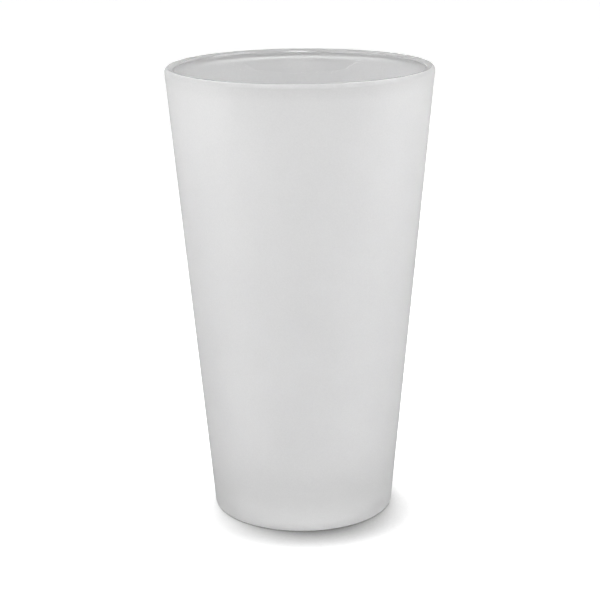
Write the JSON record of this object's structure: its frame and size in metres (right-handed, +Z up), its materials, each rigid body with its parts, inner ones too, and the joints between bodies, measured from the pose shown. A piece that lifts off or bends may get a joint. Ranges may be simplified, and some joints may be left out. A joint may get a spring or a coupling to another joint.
{
  "type": "pint glass",
  "caption": "Tall conical pint glass with a heavy base, a frosted outside, a clear fire-polished rim and a clear inside.",
  "frame": {"origin": "on the glass's axis, in the plane that it stands on", "axes": "+Z up along the axis towards the open rim; X and Y are alike"},
  "size_m": [0.087, 0.087, 0.1492],
  "materials": {
    "clear_glass": "pressed and fire-polished soda-lime glass, smooth and bright",
    "frosted_lacquer": "sprayed translucent frosting with a fine, even, satin grain"
  },
  "bodies": {
    "root": {"glass_body": "clear_glass", "wall_frost_coat": "frosted_lacquer", "base_frost_coat": "frosted_lacquer"}
  },
  "joints": []
}
